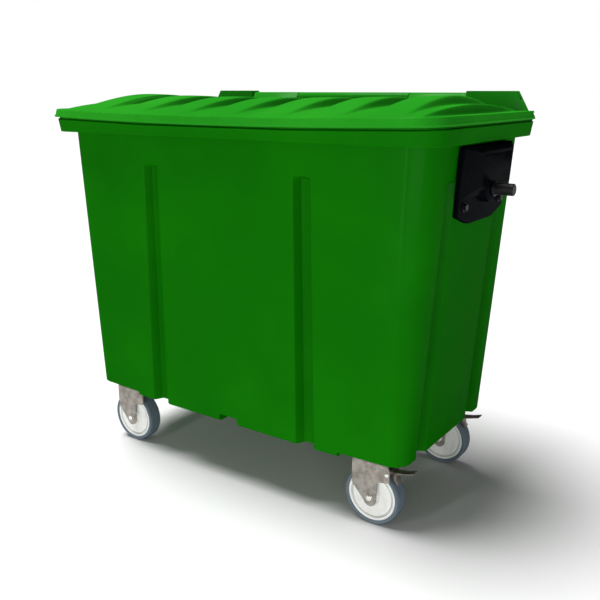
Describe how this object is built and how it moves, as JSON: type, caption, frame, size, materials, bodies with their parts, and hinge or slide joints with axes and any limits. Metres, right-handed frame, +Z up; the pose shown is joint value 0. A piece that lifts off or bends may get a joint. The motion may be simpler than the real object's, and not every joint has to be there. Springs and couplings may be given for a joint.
{
  "type": "four-wheeled waste container",
  "caption": "Wheeled waste container: tapered moulded tub with rim and grooved walls, ribbed domed lid on a rear hinge, side lifting pins, and swivel castors, some with foot brakes.",
  "frame": {"origin": "bottom centre of the container's box, on the floor under its middle", "axes": "+X along the long side, -Y to the front, +Y to the hinge, +Z up"},
  "size_m": [1.37, 0.729, 1.103],
  "materials": {
    "green_polyethylene": "moulded, satin with fine grain",
    "black_polymer": "moulded, fine grain",
    "black_steel": "black paint, worn",
    "zinc_steel": "dull zinc plate, weathered",
    "bright_zinc": "bright zinc plate",
    "hub_polymer": "moulded, light grey",
    "grey_rubber": "blue-grey non-marking rubber",
    "nylon": "natural"
  },
  "bodies": {
    "tub": {"body_tub": "green_polyethylene", "hinge_rod": "zinc_steel", "drain_plug": "black_polymer", "trunnion_bracket_right": "black_polymer", "trunnion_bracket_left": "black_polymer", "trunnion_pin_right": "black_steel", "trunnion_pin_left": "black_steel", "bracket_bolt_right_a": "black_steel", "bracket_bolt_right_b": "black_steel", "bracket_bolt_left_a": "black_steel", "bracket_bolt_left_b": "black_steel", "castor_plate_front_right": "zinc_steel", "kingpin_front_right": "bright_zinc", "castor_plate_front_left": "zinc_steel", "kingpin_front_left": "bright_zinc", "castor_plate_rear_right": "zinc_steel", "kingpin_rear_right": "bright_zinc", "castor_plate_rear_left": "zinc_steel", "kingpin_rear_left": "bright_zinc"},
    "lid": {"lid": "green_polyethylene"},
    "swivel_front_right": {"castor_fork_front_right": "zinc_steel", "axle_bolt_front_right": "bright_zinc", "axle_nut_front_right": "bright_zinc", "brake_pin_front_right": "bright_zinc"},
    "wheel_front_right": {"tyre_front_right": "grey_rubber", "wheel_hub_front_right": "hub_polymer", "axle_bush_front_right": "nylon"},
    "brake_front_right": {"brake_pedal_front_right": "zinc_steel"},
    "swivel_front_left": {"castor_fork_front_left": "zinc_steel", "axle_bolt_front_left": "bright_zinc", "axle_nut_front_left": "bright_zinc"},
    "wheel_front_left": {"tyre_front_left": "grey_rubber", "wheel_hub_front_left": "hub_polymer", "axle_bush_front_left": "nylon"},
    "swivel_rear_right": {"castor_fork_rear_right": "zinc_steel", "axle_bolt_rear_right": "bright_zinc", "axle_nut_rear_right": "bright_zinc", "brake_pin_rear_right": "bright_zinc"},
    "wheel_rear_right": {"tyre_rear_right": "grey_rubber", "wheel_hub_rear_right": "hub_polymer", "axle_bush_rear_right": "nylon"},
    "brake_rear_right": {"brake_pedal_rear_right": "zinc_steel"},
    "swivel_rear_left": {"castor_fork_rear_left": "zinc_steel", "axle_bolt_rear_left": "bright_zinc", "axle_nut_rear_left": "bright_zinc"},
    "wheel_rear_left": {"tyre_rear_left": "grey_rubber", "wheel_hub_rear_left": "hub_polymer", "axle_bush_rear_left": "nylon"}
  },
  "joints": [
    {"name": "lid_hinge", "type": "hinge", "parent": "tub", "child": "lid", "pos_m": [0, 0.3455, 1.081], "axis": [-1, 0, 0], "range_deg": [0, 265]},
    {"name": "castor_swivel_front_right", "type": "hinge", "parent": "tub", "child": "swivel_front_right", "pos_m": [0.424, -0.2415, 0.18], "axis": [0, 0, 1], "continuous": true},
    {"name": "wheel_roll_front_right", "type": "hinge", "parent": "swivel_front_right", "child": "wheel_front_right", "pos_m": [0.444, -0.2415, 0.08], "axis": [0, 1, 0], "continuous": true},
    {"name": "brake_pedal_front_right", "type": "hinge", "parent": "swivel_front_right", "child": "brake_front_right", "pos_m": [0.492, -0.2415, 0.1575], "axis": [0, 1, 0], "range_deg": [0, 5], "stiffness_Nm_per_rad": 0.6},
    {"name": "castor_swivel_front_left", "type": "hinge", "parent": "tub", "child": "swivel_front_left", "pos_m": [-0.464, -0.2415, 0.18], "axis": [0, 0, 1], "continuous": true},
    {"name": "wheel_roll_front_left", "type": "hinge", "parent": "swivel_front_left", "child": "wheel_front_left", "pos_m": [-0.444, -0.2415, 0.08], "axis": [0, 1, 0], "continuous": true},
    {"name": "castor_swivel_rear_right", "type": "hinge", "parent": "tub", "child": "swivel_rear_right", "pos_m": [0.424, 0.1825, 0.18], "axis": [0, 0, 1], "continuous": true},
    {"name": "wheel_roll_rear_right", "type": "hinge", "parent": "swivel_rear_right", "child": "wheel_rear_right", "pos_m": [0.444, 0.1825, 0.08], "axis": [0, 1, 0], "continuous": true},
    {"name": "brake_pedal_rear_right", "type": "hinge", "parent": "swivel_rear_right", "child": "brake_rear_right", "pos_m": [0.492, 0.1825, 0.1575], "axis": [0, 1, 0], "range_deg": [0, 5], "stiffness_Nm_per_rad": 0.6},
    {"name": "castor_swivel_rear_left", "type": "hinge", "parent": "tub", "child": "swivel_rear_left", "pos_m": [-0.464, 0.1825, 0.18], "axis": [0, 0, 1], "continuous": true},
    {"name": "wheel_roll_rear_left", "type": "hinge", "parent": "swivel_rear_left", "child": "wheel_rear_left", "pos_m": [-0.444, 0.1825, 0.08], "axis": [0, 1, 0], "continuous": true}
  ]
}
